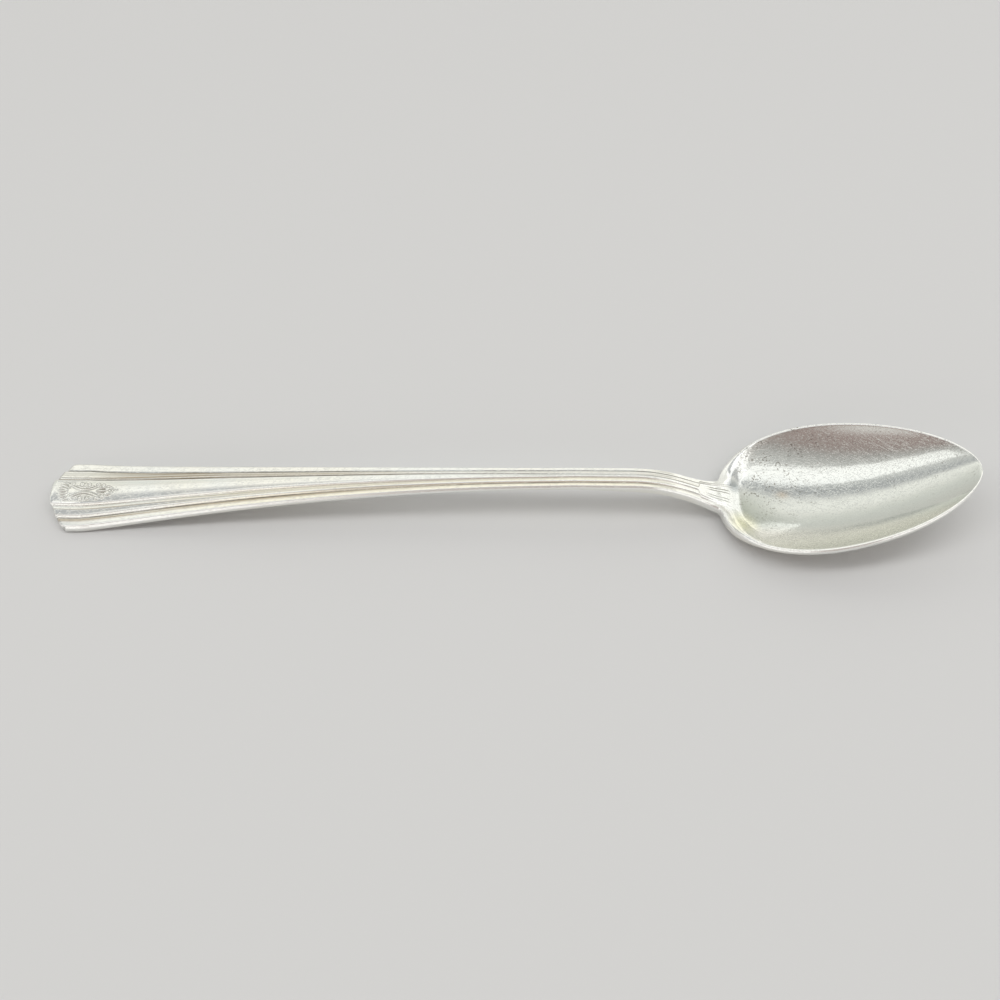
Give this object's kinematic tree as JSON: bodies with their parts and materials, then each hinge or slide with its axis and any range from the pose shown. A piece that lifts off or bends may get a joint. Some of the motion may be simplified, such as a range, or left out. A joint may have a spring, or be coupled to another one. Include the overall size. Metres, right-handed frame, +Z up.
{
  "type": "iced tea spoon",
  "caption": "Long-handled silver-plated spoon with an egg-shaped bowl, a slim arched shank and a broad handle with stepped bands that run along it.",
  "frame": {"origin": "on the table under the middle of the spoon's length, on its centre line", "axes": "+X along the spoon towards the bowl's tip, +Y across it, +Z up out of the bowl"},
  "size_m": [0.19, 0.0312, 0.015],
  "materials": {
    "nickel_silver": "nickel silver, pale yellow-grey, rubbed flat where it shows through the plate",
    "silver": "old silver plate, softly polished, with fine scratches and brown tarnish along the steps"
  },
  "bodies": {
    "root": {"base_metal_blank": "nickel_silver", "silver_plate": "silver"}
  },
  "joints": []
}
